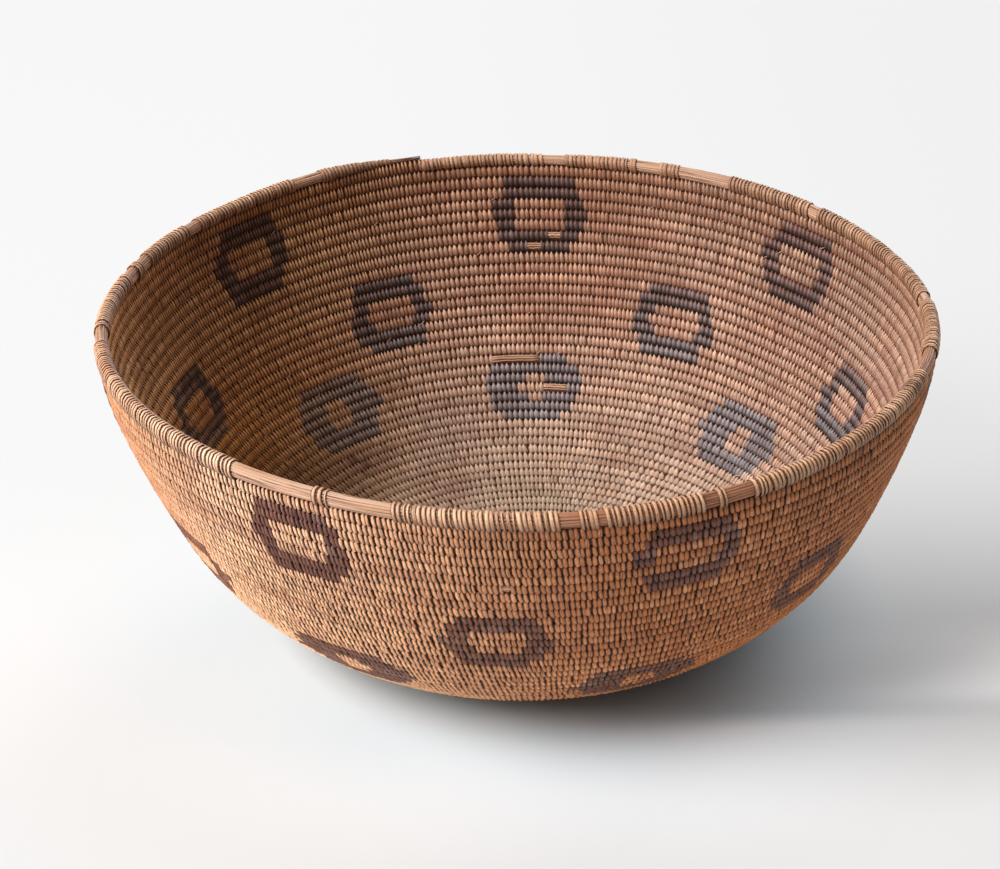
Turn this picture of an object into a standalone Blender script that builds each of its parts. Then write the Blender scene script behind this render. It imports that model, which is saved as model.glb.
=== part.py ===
# Coiled grain basket: one long bundle of stems wound in a flat spiral from a
# start knot, out over the floor and up the wall, and finished with a thicker,
# splint-wrapped rim that is worn bare in places.
# Units are metres, +Z is up, and the basket stands on Z = 0 with its start knot
# near the Z axis. Angles are in degrees, from +X toward +Y.
import math

import bmesh
import bpy
import numpy as np
from mathutils.kdtree import KDTree

# Profile: reach and end slope of each stretch, along the middle of the wall,
# from the start knot to the middle of the rim. The slope changes evenly.
floor_reach = 0.0571
shoulder_reach = 0.1407
wall_reach = 0.0622
lip_reach = 0.0320
floor_slope = 0.0
shoulder_slope = 63.6
wall_slope = 71.1
lip_slope = 89.4

# Wall and coil: the coil is finer at the start knot than it is under the rim.
wall_thickness = 0.0050
start_pitch = 0.00455
top_pitch = 0.00584
turn_gap = 0.00045
first_turn = 1.2
points_per_turn = 20

# Rim bundle, and the sleeve of splints around it.
rim_bundle_width = 0.0060
rim_bundle_height = 0.0058
rim_start_height = 0.0038
rim_tip_width = 0.0025
rim_tip_height = 0.0016
rim_tip_angle = 105.0
wrap_thickness = 0.0005
wrap_clearance = 0.00035
wrap_to_wall = 0.0002

# The bundle is spliced at these arc distances from the middle of the floor.
splice_gap = 0.0003
centre_splice = 0.0418
floor_splice = 0.0952
lower_wall_splice = 0.1616
middle_wall_splice = 0.2265

# Hand-made unevenness, growing from nothing at the floor to this at the rim:
# lobes in the outline, as shares of the radius, and waves in the height.
tilt_rise = 0.0057
saddle_rise = 0.0022
ripple_rise = 0.0016
outline_lobes = {2: (0.0058, 82.0), 3: (0.0140, 56.8), 4: (0.0067, 23.1)}
height_waves = {1: (tilt_rise, 117.5), 2: (saddle_rise, 136.1), 3: (ripple_rise, 322.2)}

# Place of the start knot, a little off the middle of the whole outline.
start_knot_across = 0.00278
start_knot_along = 0.00011

# Splint-wrapped stretches of the rim, from and to, in degrees past the tip.
wrapped_stretches = [
    (5.0, 17.2),
    (22.1, 41.9),
    (44.4, 55.6),
    (57.9, 59.9),
    (62.5, 79.2),
    (83.8, 124.3),
    (136.7, 138.9),
    (147.4, 167.9),
    (170.1, 172.4),
    (173.2, 185.3),
    (187.0, 188.2),
    (191.8, 231.3),
    (239.5, 257.4),
    (260.2, 293.5),
    (295.5, 310.7),
    (318.9, 322.3),
    (325.9, 337.3),
    (340.8, 360.0),
]

# Worked out from the above.
profile_reach = floor_reach + shoulder_reach + wall_reach + lip_reach
rim_bundle_drop = wrap_to_wall + wrap_thickness + wrap_clearance
rim_middle_rise = rim_bundle_drop + rim_bundle_height / 2
coil_reach = profile_reach - (rim_middle_rise - top_pitch / 2)
pitch_growth = (top_pitch - start_pitch) / coil_reach
coil_root = start_pitch / pitch_growth


def coil_arc(turn):
    """Arc distance of the middle of the coil, whose pitch grows with that distance."""
    return coil_root * (math.exp(pitch_growth * turn) - 1)


def arc_turn(arc):
    """Turn at which the middle of the coil has gone this arc distance."""
    return math.log(1 + arc / coil_root) / pitch_growth


def profile_table(step=0.0001):
    """Radius, height and slope along the profile, summed in short straight steps."""
    ends = np.cumsum([0, floor_reach, shoulder_reach, wall_reach, lip_reach])
    slopes = np.radians([floor_slope, floor_slope, shoulder_slope, wall_slope, lip_slope])
    arc = np.arange(0, profile_reach + 100 * step, step)
    slope = np.interp(arc, ends, slopes)
    middle = (slope[1:] + slope[:-1]) / 2
    radius = np.concatenate([[0], np.cumsum(np.cos(middle) * step)])
    height = np.concatenate([[0], np.cumsum(np.sin(middle) * step)]) + wall_thickness / 2
    return arc, radius, height, slope


profile = profile_table()
last_turn = arc_turn(coil_reach)


def wave(terms, angle):
    return sum(size * math.cos(count * (angle - math.radians(peak))) for count, (size, peak) in terms.items())


def wall_point(arc, angle, outward):
    """Point at an arc distance and angle, this far out from the middle of the wall."""
    table_arc, table_radius, table_height, table_slope = profile
    slope = np.interp(arc, table_arc, table_slope)
    radius = np.interp(arc, table_arc, table_radius) + outward * math.sin(slope)
    height = np.interp(arc, table_arc, table_height) - outward * math.cos(slope)
    share = min(max((arc - floor_reach) / (profile_reach - floor_reach), 0), 1)
    radius *= 1 + share * wave(outline_lobes, angle)
    height += share * wave(height_waves, angle)
    across = start_knot_across + radius * math.cos(angle)
    along = start_knot_along + radius * math.sin(angle)
    return np.array([across, along, height])


def turn_angle(turn):
    """The coil runs clockwise seen from above and ends at the rim's tip."""
    return math.radians(rim_tip_angle) + 2 * math.pi * (last_turn - turn)


def coil_section(turn):
    """Four corners of the wall's coil: inner and outer, below and above."""
    low = coil_arc(turn - 0.5) + turn_gap / 2
    high = coil_arc(turn + 0.5) - turn_gap / 2
    half = wall_thickness / 2
    angle = turn_angle(turn)
    corners = [(low, half), (high, half), (high, -half), (low, -half)]
    return np.array([wall_point(arc, angle, outward) for arc, outward in corners])


def rim_size(turn):
    """Width and height of the rim's bundle, which is slimmer in its first and last steps."""
    step = 1 / points_per_turn
    begun = min((turn - (last_turn - 1)) / step, 1)
    left = min((last_turn - turn) / step, 1)
    width = rim_tip_width + (rim_bundle_width - rim_tip_width) * left
    height = rim_tip_height + (rim_bundle_height - rim_tip_height) * left
    height -= (rim_bundle_height - rim_start_height) * (1 - begun)
    return width, height


def rim_section(turn, spread=0.0):
    """Six corners round the rim's bundle, spread outward by this much."""
    width, height = rim_size(turn)
    middle = coil_arc(turn - 0.5) + rim_bundle_drop + height / 2
    half_width = width / 2 + spread
    half_height = height / 2 + spread
    angle = turn_angle(turn)
    corners = [(0, half_width), (half_height, half_width / 2), (half_height, -half_width / 2),
               (0, -half_width), (-half_height, -half_width / 2), (-half_height, half_width / 2)]
    return np.array([wall_point(middle + rise, angle, outward) for rise, outward in corners])


def between_steps(section, turn):
    """Section on the straight run between the two steps of the coil that hold this turn."""
    steps_left = (last_turn - turn) * points_per_turn
    ahead = math.floor(steps_left + 1e-9)
    share = steps_left - ahead
    near = section(last_turn - ahead / points_per_turn)
    if share < 1e-6:
        return near
    far = section(last_turn - (ahead + 1) / points_per_turn)
    return near * (1 - share) + far * share


def step_turns(start, end):
    """Turns at which a stretch has a section: its two ends, and each step between them."""
    first = math.ceil((last_turn - end) * points_per_turn + 1e-6)
    last = math.floor((last_turn - start) * points_per_turn - 1e-6)
    inner = [last_turn - count / points_per_turn for count in range(last, first - 1, -1)]
    return [start] + inner + [end]


def make_material(name, colour, roughness):
    material = bpy.data.materials.new(name)
    material.use_nodes = True
    shader = material.node_tree.nodes["Principled BSDF"]
    shader.inputs["Base Color"].default_value = (*colour, 1)
    shader.inputs["Roughness"].default_value = roughness
    shader.inputs["Metallic"].default_value = 0
    return material


def make_object(name, mesh_data, colour, roughness=0.7):
    """Object of one closed mesh, with outward faces and its own material."""
    bmesh.ops.recalc_face_normals(mesh_data, faces=mesh_data.faces)
    mesh = bpy.data.meshes.new(name)
    mesh_data.to_mesh(mesh)
    mesh_data.free()
    mesh.materials.append(make_material(name, colour, roughness))
    mesh.shade_smooth()
    mesh.set_sharp_from_angle(angle=math.radians(40))
    piece = bpy.data.objects.new(name, mesh)
    bpy.context.collection.objects.link(piece)
    return piece


def join_rings(mesh_data, rings):
    """Faces along a row of rings of points, each ring closed."""
    for near, far in zip(rings, rings[1:]):
        count = len(near)
        for index in range(count):
            after = (index + 1) % count
            mesh_data.faces.new([near[index], near[after], far[after]])
            mesh_data.faces.new([near[index], far[after], far[index]])


def make_tube(name, sections, colour):
    """Solid bundle through a row of sections, capped at both ends."""
    mesh_data = bmesh.new()
    rings = [[mesh_data.verts.new(point) for point in section] for section in sections]
    join_rings(mesh_data, rings)
    mesh_data.faces.new(rings[0])
    mesh_data.faces.new(rings[-1])
    return make_object(name, mesh_data, colour)


def make_sleeve(name, outer_sections, inner_sections, colour):
    """Hollow sleeve between two rows of sections, closed by a flat rim at both ends."""
    mesh_data = bmesh.new()
    outer = [[mesh_data.verts.new(point) for point in section] for section in outer_sections]
    inner = [[mesh_data.verts.new(point) for point in section] for section in inner_sections]
    join_rings(mesh_data, outer)
    join_rings(mesh_data, inner)
    join_rings(mesh_data, [outer[0], inner[0]])
    join_rings(mesh_data, [outer[-1], inner[-1]])
    return make_object(name, mesh_data, colour)


def least_gap(start, end):
    """Least distance between points of the tube that lie over half a turn apart along it."""
    samples = 4 * points_per_turn
    first = math.ceil((last_turn - end) * samples)
    last = math.floor((last_turn - start) * samples)
    turns = [last_turn - count / samples for count in range(first, last + 1)]
    points = [point for turn in turns for point in between_steps(coil_section, turn)]
    tree = KDTree(len(points))
    for index, point in enumerate(points):
        tree.insert(point, index)
    tree.balance()
    corners = 4
    least = top_pitch
    for index, point in enumerate(points):
        for _, other, distance in tree.find_range(point, least):
            if abs(index - other) > samples * corners / 2:
                least = min(least, distance)
    return least


def make_coils():
    """The spiral's stretches, each one unbroken tube from splice to splice."""
    stretches = [
        ("centre_coil", arc_turn(centre_splice), (0.36, 0.24, 0.14)),
        ("floor_coil", arc_turn(floor_splice), (0.38, 0.25, 0.14)),
        ("lower_wall_coil", arc_turn(lower_wall_splice), (0.42, 0.24, 0.12)),
        ("middle_wall_coil", arc_turn(middle_wall_splice), (0.44, 0.22, 0.10)),
        ("upper_wall_coil", last_turn - 1, (0.42, 0.19, 0.08)),
    ]
    start = first_turn
    for name, end, colour in stretches:
        radius = np.interp(coil_arc(end), profile[0], profile[1])
        clearance = splice_gap / (2 * math.pi * radius)
        turns = step_turns(start, end - clearance)
        make_tube(name, [between_steps(coil_section, turn) for turn in turns], colour)
        print(f"{name}: {end - start:.1f} loops, least gap to itself {1000 * least_gap(start, end):.2f} mm")
        start = end


def make_start_knot():
    """Flat knot that fills the middle of the spiral, stepped where the coil begins."""
    steps = points_per_turn
    turns = [first_turn + index / steps for index in range(steps)]
    mesh_data = bmesh.new()
    levels = []
    for outward in (wall_thickness / 2, -wall_thickness / 2):
        edge = [wall_point(coil_arc(turn - 0.5) - turn_gap / 2, turn_angle(turn), outward) for turn in turns]
        levels.append([mesh_data.verts.new(point) for point in edge])
    join_rings(mesh_data, levels)
    mesh_data.faces.new(levels[0])
    mesh_data.faces.new(levels[1])
    make_object("start_knot", mesh_data, (0.30, 0.19, 0.11))


def make_rim():
    """The last round of the coil, slimming to a tip, in its sleeves of splints."""
    turns = step_turns(last_turn - 1, last_turn)
    make_tube("rim_bundle", [between_steps(rim_section, turn) for turn in turns], (0.52, 0.30, 0.17))
    for number, (tip_side, start_side) in enumerate(wrapped_stretches, 1):
        turns = step_turns(last_turn - start_side / 360, last_turn - tip_side / 360)
        outer = wrap_clearance + wrap_thickness
        shells = []
        for spread in (outer, wrap_clearance):
            shells.append([between_steps(lambda at: rim_section(at, spread), turn) for turn in turns])
        make_sleeve(f"rim_wrap_{number:02d}", *shells, (0.55, 0.30, 0.13))


for old in list(bpy.data.objects):
    bpy.data.objects.remove(old)
make_start_knot()
make_coils()
make_rim()
corners = np.array([tuple(vertex.co) for piece in bpy.data.objects for vertex in piece.data.vertices])
low, high = corners.min(axis=0), corners.max(axis=0)
print("size in mm", np.round(1000 * (high - low), 2), "middle in mm", np.round(500 * (high + low), 2))
print("turns", round(last_turn, 2), "triangles", sum(len(piece.data.loop_triangles) for piece in bpy.data.objects))
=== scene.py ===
import math

import bpy
import numpy as np
from mathutils import Matrix


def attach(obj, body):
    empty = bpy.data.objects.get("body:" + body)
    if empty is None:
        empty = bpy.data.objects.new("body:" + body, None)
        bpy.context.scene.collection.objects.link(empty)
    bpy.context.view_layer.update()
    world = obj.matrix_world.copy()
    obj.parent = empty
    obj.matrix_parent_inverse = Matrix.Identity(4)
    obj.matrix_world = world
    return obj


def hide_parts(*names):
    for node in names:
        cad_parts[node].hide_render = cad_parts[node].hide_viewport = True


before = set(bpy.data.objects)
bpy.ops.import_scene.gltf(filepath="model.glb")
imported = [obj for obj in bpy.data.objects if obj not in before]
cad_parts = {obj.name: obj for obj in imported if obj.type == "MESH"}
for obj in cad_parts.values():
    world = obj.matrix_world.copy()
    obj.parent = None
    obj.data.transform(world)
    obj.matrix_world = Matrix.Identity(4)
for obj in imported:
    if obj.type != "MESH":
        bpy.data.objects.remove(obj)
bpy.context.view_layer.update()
print("frame loaded:", len(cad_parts), "nodes")

view = {  # the photograph's view: metres and radians
    "target": (-0.01029, 0.00011, 0.09355),
    "distance": 1.3778,
    "elevation": 0.4543,
    "roll": -0.0315,
    "focalPixels": 2800.8,  # focal length, where the picture is this many pixels wide
    "pixelsWide": 1000,
}


def linked(name, data):
    # An object of that name in the scene
    piece = bpy.data.objects.new(name, data)
    bpy.context.collection.objects.link(piece)
    return piece


def aimed(name, data, right, up, back, place):
    # A camera or lamp at a place, with its own axes in these directions
    turned = np.eye(4)
    turned[:3, :] = np.stack([right, up, back, place], axis=1)
    piece = linked(name, data)
    piece.matrix_world = Matrix(turned.tolist())
    return piece


def makeCamera():
    # Back from its target, in front of the basket and above it, and rolled a little about its own axis
    tilt, roll = view["elevation"], view["roll"]
    right = np.array([1.0, 0.0, 0.0])
    up = np.array([0.0, math.sin(tilt), math.cos(tilt)])
    back = np.array([0.0, -math.cos(tilt), math.sin(tilt)])
    right, up = right * math.cos(roll) + up * math.sin(roll), up * math.cos(roll) - right * math.sin(roll)
    lens = bpy.data.cameras.new("viewCamera")
    lens.sensor_width = 36
    lens.lens = lens.sensor_width * view["focalPixels"] / view["pixelsWide"]
    lens.clip_start, lens.clip_end = 0.05, 30
    place = np.array(view["target"]) + back * view["distance"]
    bpy.context.scene.camera = aimed("viewCamera", lens, right, up, back, place)


makeCamera()
print("camera placed")

form = {  # profile and coil of the basket, in metres and degrees
    "reaches": (0.0571, 0.1407, 0.0622, 0.0320),  # floor, shoulder, wall and lip, along the wall's middle
    "slopes": (0.0, 0.0, 63.6, 71.1, 89.4),  # at the ends of those stretches
    "wallThickness": 0.0050,
    "startPitch": 0.00455,  # from turn to turn of the coil at the start knot, and under the rim
    "topPitch": 0.00584,
    "firstTurn": 1.2,
    "tipAngle": 105.0,
    "knotPlace": (0.00278, 0.00011),
    # shares of the radius by which it swells, and heights by which the rim rises, with their peaks
    "lobes": {2: (0.0058, 82.0), 3: (0.0140, 56.8), 4: (0.0067, 23.1)},
    "waves": {1: (0.0057, 117.5), 2: (0.0022, 136.1), 3: (0.0016, 322.2)},
    "splices": (0.0418, 0.0952, 0.1616, 0.2265),  # where the coil's stretches meet, along the wall
}

uneven = {  # how far the rounds lie above an even coil, in mm, by bearing in degrees and arc in metres
    "arcs": (0.120, 0.200, 0.230, 0.250, 0.267, 0.285),
    "shifts": {
        0: (-1.0, -4.0, -4.5, -4.5, -3.9, -2.4), 36: (-1.2, -2.7, -2.4, -1.5, -2.3, -0.8),
        60: (-0.8, -0.3, -0.2, 0.3, -0.1, 0.6), 108: (0.4, 0.1, -0.6, 0.4, 0.4, 1.9),
        128: (0.2, -0.5, -0.4, -0.3, -0.1, 0.5), 150: (-0.6, -0.1, -0.5, 0.4, 0.5, 0.2),
        170: (-0.5, -2.3, -1.9, -1.8, -2.6, -1.6), 225: (-0.5, -1.5, -3.0, -1.9, 0.7, -1.0),
        240: (0.0, -1.0, -1.4, -0.5, 1.4, -0.2), 270: (0.0, 1.2, 1.2, 1.4, 1.2, -1.0),
        290: (0.0, 0.5, 0.6, 2.0, 1.6, -1.2), 320: (-0.5, -1.0, -2.0, -2.4, -2.0, 0.4)},
}
uneven["shifts"][360] = uneven["shifts"][0]

rim = {  # the last round: its bundle of stems and the splints round it
    "width": 0.0060,
    "height": 0.0058,
    "startHeight": 0.0038,
    "tipWidth": 0.0018,
    "tipHeight": 0.0011,
    "taper": 18.0,  # degrees over which it slims at its start and tip
    "wrapThickness": 0.0005,
    "wrapClearance": 0.00035,
    "wrapToWall": 0.0002,
    "sag": 0.0011,  # how far the bundle sinks onto the round beneath, and further in front than at the back
    "deeper": 0.0002,
    "lower": 0.0004,  # how far its upper edge lies lower, away from its start and tip
    "rise": (  # how far its upper edge lies above the even rim, in mm, by degrees from its start
        (0, 2.3), (20, -0.3), (35, 0.6), (50, 0.9), (65, 0.2), (85, -1.7), (100, -1.5), (130, -0.6),
        (300, -0.2), (310, 0.5), (325, -0.3), (342, 0.1), (351, 1.0), (360, 1.9)),
    "wrapped": (  # wrapped stretches, in degrees past the tip
        (5.0, 17.2), (22.1, 41.9), (44.4, 55.6), (57.9, 59.9), (62.5, 79.2), (83.8, 124.3), (136.7, 138.9),
        (147.4, 167.9), (170.1, 172.4), (173.2, 185.3), (187.0, 188.2), (191.8, 231.3), (239.5, 257.4),
        (260.2, 293.5), (295.5, 310.7), (318.9, 322.3), (325.9, 337.3), (340.8, 360.0)),
}

floorReach = form["reaches"][0]
profileReach = sum(form["reaches"])
rimDrop = rim["wrapToWall"] + rim["wrapThickness"] + rim["wrapClearance"]
coilReach = profileReach - (rimDrop + rim["height"] / 2 - form["topPitch"] / 2)
pitchGrowth = (form["topPitch"] - form["startPitch"]) / coilReach
coilRoot = form["startPitch"] / pitchGrowth


def smooth(share):
    # Eased from 0 to 1: three times the square less twice the cube
    share = np.clip(share, 0, 1)
    return share * share * (3 - 2 * share)


def coilArc(turn):
    # How far along the wall the coil's middle has come after so many turns: its pitch grows evenly with that
    return coilRoot * (np.exp(pitchGrowth * turn) - 1)


def arcTurn(arc):
    # After how many turns the coil's middle has come so far
    return np.log(1 + arc / coilRoot) / pitchGrowth


lastTurn = float(arcTurn(coilReach))


def profileTable(step=0.0001):
    # Radius, height and slope along the wall: the slope runs evenly between the ends of each stretch, and
    # its cosines and sines are summed
    arc = np.arange(0, profileReach + 0.02, step)
    slope = np.interp(arc, np.cumsum((0,) + form["reaches"]), np.radians(form["slopes"]))
    middle = (slope[1:] + slope[:-1]) / 2
    radius = np.concatenate([[0], np.cumsum(np.cos(middle) * step)])
    height = np.concatenate([[0], np.cumsum(np.sin(middle) * step)]) + form["wallThickness"] / 2
    return arc, radius, height, slope


profile = profileTable()


def profileRadius(arc):
    # Read from the table, between its steps
    return np.interp(arc, profile[0], profile[1])


def wave(terms, angle):
    # A sum of cosines: each with its count of peaks in a round, its size, and where one of them lies
    return sum(size * np.cos(count * (angle - math.radians(peak))) for count, (size, peak) in terms.items())


def wallPoint(arc, angle, outward):
    # The profile turned about the Z axis: the radius swells in lobes and the height rises in waves, by a
    # share that grows from the floor to the rim
    arc, angle, outward = np.broadcast_arrays(arc, angle, outward)
    slope = np.interp(arc, profile[0], profile[3])
    radius = profileRadius(arc) + outward * np.sin(slope)
    height = np.interp(arc, profile[0], profile[2]) - outward * np.cos(slope)
    share = np.clip((arc - floorReach) / (profileReach - floorReach), 0, 1)
    radius = radius * (1 + share * wave(form["lobes"], angle))
    height = height + share * wave(form["waves"], angle)
    across, along = form["knotPlace"]
    return np.stack([across + radius * np.cos(angle), along + radius * np.sin(angle), height], axis=-1)


def turnAngle(turn):
    # The coil runs clockwise seen from above and ends at the rim's tip
    return math.radians(form["tipAngle"]) + 2 * math.pi * (lastTurn - turn)


def rowArc(turn):
    # The sewn coil: an even coil moved along the wall by the uneven amounts, eased from bearing to bearing
    arc = np.asarray(coilArc(turn))
    bearings = list(uneven["shifts"])
    place = np.interp(np.degrees(turnAngle(turn)) % 360, bearings, np.arange(len(bearings)))
    low = np.minimum(place.astype(int), len(bearings) - 2)
    shifts = np.array([np.interp(arc, uneven["arcs"], row, left=0) for row in uneven["shifts"].values()])
    below, above = (np.take_along_axis(shifts, step[None], axis=0)[0] for step in (low, low + 1))
    fade = smooth(arc / uneven["arcs"][0])
    return arc + 0.001 * fade * (below + (above - below) * smooth(place - low))


def rowPitch(turn):
    # Half the distance from the round beneath to the round above
    return (rowArc(turn + 1) - rowArc(turn - 1)) / 2


def unit(vectors):
    return vectors / np.linalg.norm(vectors, axis=-1, keepdims=True)


def wallAxes(arc, angle, reach=0.0005):
    # Middle of the wall, and unit directions there from small steps: up the wall, out through it, round it
    middle = wallPoint(arc, angle, 0)
    up = unit(wallPoint(arc + reach, angle, 0) - wallPoint(arc - reach, angle, 0))
    out = unit(wallPoint(arc, angle, reach) - wallPoint(arc, angle, -reach))
    return middle, up, out, np.cross(up, out)


class Value:
    # A number that changes over a surface: sums, products and powers of such values add Math nodes
    def __init__(self, finish, socket):
        self.finish, self.socket = finish, socket

    def math(self, operation, *values):
        return self.finish.node("ShaderNodeMath", {"operation": operation}, dict(enumerate(values)))

    def __add__(self, other):
        return self.math("ADD", self, other)

    def __mul__(self, other):
        return self.math("MULTIPLY", self, other)

    def __sub__(self, other):
        return self.math("SUBTRACT", self, other)

    def __rsub__(self, other):
        return self.math("SUBTRACT", other, self)

    def __pow__(self, other):
        return self.math("POWER", self, other)

    def __abs__(self):
        return self.math("ABSOLUTE", self)

    __radd__ = __add__

    def ramp(self, low, high, start=0.0, end=1.0):
        # Eased from start to end while this value goes from low to high
        return self.finish.node("ShaderNodeMapRange", {"interpolation_type": "SMOOTHSTEP"}, {
            "Value": self, "From Min": low, "From Max": high, "To Min": start, "To Max": end})


class Finish:
    # A Principled material and its nodes
    def __init__(self, name, **constants):
        self.material = bpy.data.materials.new(name)
        self.material.use_nodes = True
        self.tree = self.material.node_tree
        self.shader = self.tree.nodes["Principled BSDF"]
        for socket, number in constants.items():
            self.shader.inputs[socket.replace("_", " ")].default_value = number

    def node(self, kind, settings=None, values=None, output=0):
        # One node: its settings first, then the values or links of its sockets
        node = self.tree.nodes.new(kind)
        for key, setting in (settings or {}).items():
            if key == "stops":
                ramp = node.color_ramp.elements
                while len(ramp) < len(setting):
                    ramp.new(0.5)
                for stop, (place, colour) in zip(ramp, setting):
                    stop.position, stop.color = place, colour
            else:
                setattr(node, key, setting)
        for key, value in (values or {}).items():
            if isinstance(value, Value):
                self.plug(value, node.inputs[key])
            else:
                node.inputs[key].default_value = value
        return Value(self, node.outputs[output])

    def attribute(self, name):
        # The three numbers of an attribute
        vector = self.node("ShaderNodeAttribute", {"attribute_name": name}, output="Vector")
        parts = self.node("ShaderNodeSeparateXYZ", values={0: vector})
        return [Value(self, parts.socket.node.outputs[axis]) for axis in range(3)]

    def place(self):
        return self.node("ShaderNodeTexCoord", output="Object")

    def across(self, axis):
        # Place along one axis of the object
        parts = self.node("ShaderNodeSeparateXYZ", values={0: self.place()})
        return Value(self, parts.socket.node.outputs[axis])

    def plug(self, value, socket):
        # Links a value to a socket
        self.tree.links.new(value.socket, socket)

    def vector(self, x, y, z):
        return self.node("ShaderNodeCombineXYZ", values={0: x, 1: y, 2: z})

    def noise(self, vector, scale=1.0, detail=2.0, roughness=0.5):
        return self.node("ShaderNodeTexNoise", values={
            "Vector": vector, "Scale": scale, "Detail": detail, "Roughness": roughness})

    def grain(self, place, stretch, seed, shift, detail, roughness):
        # Noise drawn out along a splint or stem, and shifted from one to the next by its own number
        across, along = place
        vector = self.vector(across * stretch[0] + seed * shift[0], along * stretch[1], seed * shift[1])
        return self.noise(vector, 1.0, detail, roughness)

    def mix(self, share, first, second):
        # From the first colour to the second by a share
        return self.node("ShaderNodeMix", {"data_type": "RGBA"}, {0: share, 6: first, 7: second}, output=2)

    def colours(self, share, stops):
        return self.node("ShaderNodeValToRGB", {"stops": stops}, {0: share})

    def scaled(self, colour, factor):
        return self.node("ShaderNodeVectorMath", {"operation": "SCALE"}, {0: colour, 3: factor})

    def tinted(self, share, colour, tint):
        # The colour, and by that share the colour times the tint
        product = self.node("ShaderNodeVectorMath", {"operation": "MULTIPLY"}, {0: colour, 1: tint})
        return self.mix(share, colour, product)

    def finish(self, colour, roughness, bump, depth, strength):
        # Puts the colour, the roughness and the bumps into the shader
        bumped = self.node("ShaderNodeBump", values={"Height": bump, "Distance": depth, "Strength": strength})
        for value, socket in ((colour, "Base Color"), (roughness, "Roughness"), (bumped, "Normal")):
            self.plug(value, self.shader.inputs[socket])
        return self.material


def colour(red, green, blue):
    # A screen colour, 0 to 255, as the light it stands for
    shares = np.array([red, green, blue]) / 255
    light = np.where(shares <= 0.04045, shares / 12.92, ((shares + 0.055) / 1.055) ** 2.4)
    return (*light.tolist(), 1.0)


lightSplint = {  # colours of the light sewing splints, from the start knot to the rim
    "inside": ((0.0, (238, 208, 180)), (0.32, (238, 208, 180)), (0.50, (232, 198, 173)),
               (0.72, (216, 171, 145)), (1.0, (184, 134, 103))),
    "outside": ((0.0, (184, 120, 70)), (0.35, (224, 139, 74)), (0.7, (191, 117, 63)), (1.0, (184, 114, 64))),
    "deep": (112, 62, 38),  # painted shade: the tint that it darkens to towards its holes and where it tucks under, and how far on each face
    "depth": (0.9, 0.6),
    # painted light and shade by side: tints for the left side, low and high inside and then outside, and for
    # the right side inside near the rim
    "left": ((1.15, 0.80, 0.28), (1.32, 1.24, 0.75), (1.50, 2.48, 5.0)),
    "right": (0.95, 1.06, 1.16),
    "red": (150, 78, 48),
    "straw": (232, 184, 142),
    # colour of the stains' dirt, and of the painted shade in the holes where the splints go into the coil
    "dirtAndHoleShade": (46, 21, 9),
    "roughness": (0.52, 0.74),
}

darkSplint = {
    "inside": ((0.0, (168, 160, 160)), (0.55, (190, 173, 172)), (0.66, (164, 148, 149)),
               (0.70, (140, 120, 118)), (0.80, (126, 102, 98)), (0.84, (122, 93, 87)), (1.0, (120, 88, 82))),
    "outside": ((0.0, (114, 70, 49)), (0.72, (130, 76, 47)), (0.88, (120, 68, 47)), (1.0, (120, 68, 47))),
    # deep and depth: painted shade towards the holes, as for the light splints
    "deep": (38, 22, 18),
    "depth": (1.2, 0.6),
    # left and right: painted light and shade by side, as for the light splints
    "left": ((1.45, 1.0, 0.55), (1.3, 1.1, 0.75), (0.98, 1.08, 1.35)),
    "right": (1.35, 1.16, 1.05),
    "red": (96, 50, 40),
    "straw": (150, 132, 124),
    "dirtAndHoleShade": (24, 13, 9),
    "roughness": (0.42, 0.62),
}

rimSplint = {
    "inside": ((0.0, (206, 155, 120)), (1.0, (208, 158, 124))),
    "outside": ((0.0, (220, 166, 124)), (1.0, (231, 176, 134))),
    # deep and depth: painted shade towards the holes and on the lower parts of the wraps
    "deep": (100, 60, 38),
    "depth": (0.9, 0.95),
    # left and right: painted light and shade by side, as for the light splints
    "left": ((1.0, 1.0, 1.0), (1.0, 1.0, 1.0), (1.08, 1.18, 1.38)),
    "right": (1.0, 1.0, 1.0),
    "red": (170, 100, 66),
    "straw": (240, 210, 172),
    "dirtAndHoleShade": (52, 30, 18),
    "roughness": (0.45, 0.66),
}


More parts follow.
